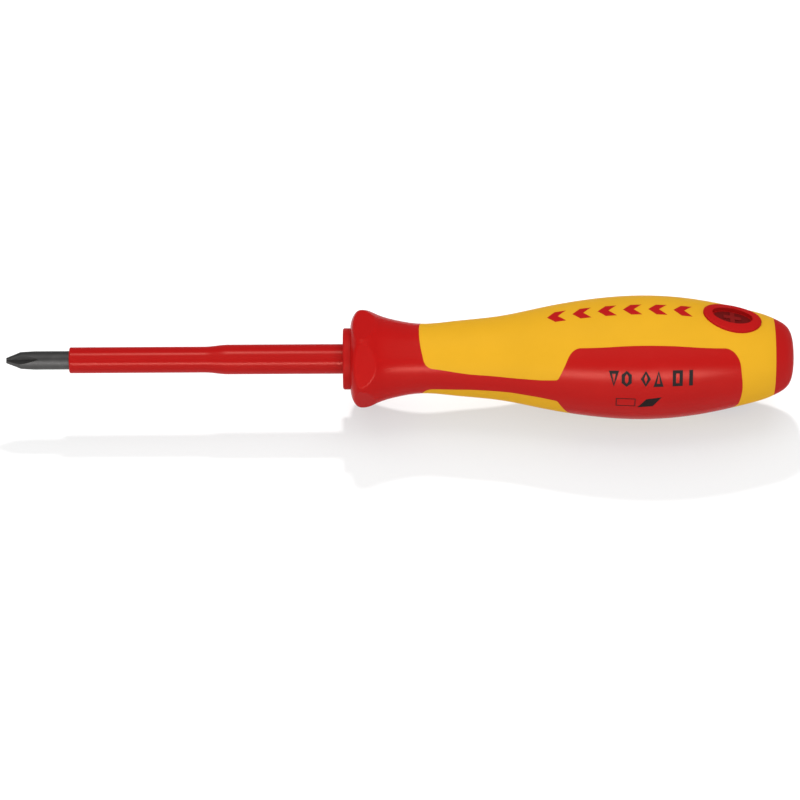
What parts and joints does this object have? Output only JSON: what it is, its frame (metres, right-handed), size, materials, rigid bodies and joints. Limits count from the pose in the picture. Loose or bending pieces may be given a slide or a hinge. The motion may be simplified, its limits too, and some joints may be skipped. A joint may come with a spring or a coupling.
{
  "type": "insulated screwdriver",
  "caption": "Insulated screwdriver with a cross tip, a sleeved round blade and a red and yellow soft-grip handle with a hexagonal guard",
  "frame": {"origin": "on the blade's axis, in the front face of the handle's nose collar", "axes": "+X along the axis from the tip to the butt, +Y out of one soft side panel, +Z out of one marked yellow flank"},
  "size_m": [0.187, 0.0294, 0.0294],
  "materials": {
    "tool_steel": "dark burnished steel",
    "insulating_sleeve": "smooth moulded plastic",
    "hard_red_plastic": "satin moulded plastic",
    "hard_yellow_plastic": "satin moulded plastic",
    "soft_red_grip": "matte soft-touch",
    "printing_ink": "matte printed ink"
  },
  "bodies": {
    "root": {"blade": "tool_steel", "blade_insulation": "insulating_sleeve", "handle_core": "hard_red_plastic", "handle_shell": "hard_yellow_plastic", "soft_grip": "soft_red_grip", "butt_cap": "hard_red_plastic", "upper_label_insert": "hard_red_plastic", "lower_label_insert": "hard_red_plastic", "upper_mark_inlays": "hard_red_plastic", "lower_mark_inlays": "hard_red_plastic"}
  },
  "joints": []
}
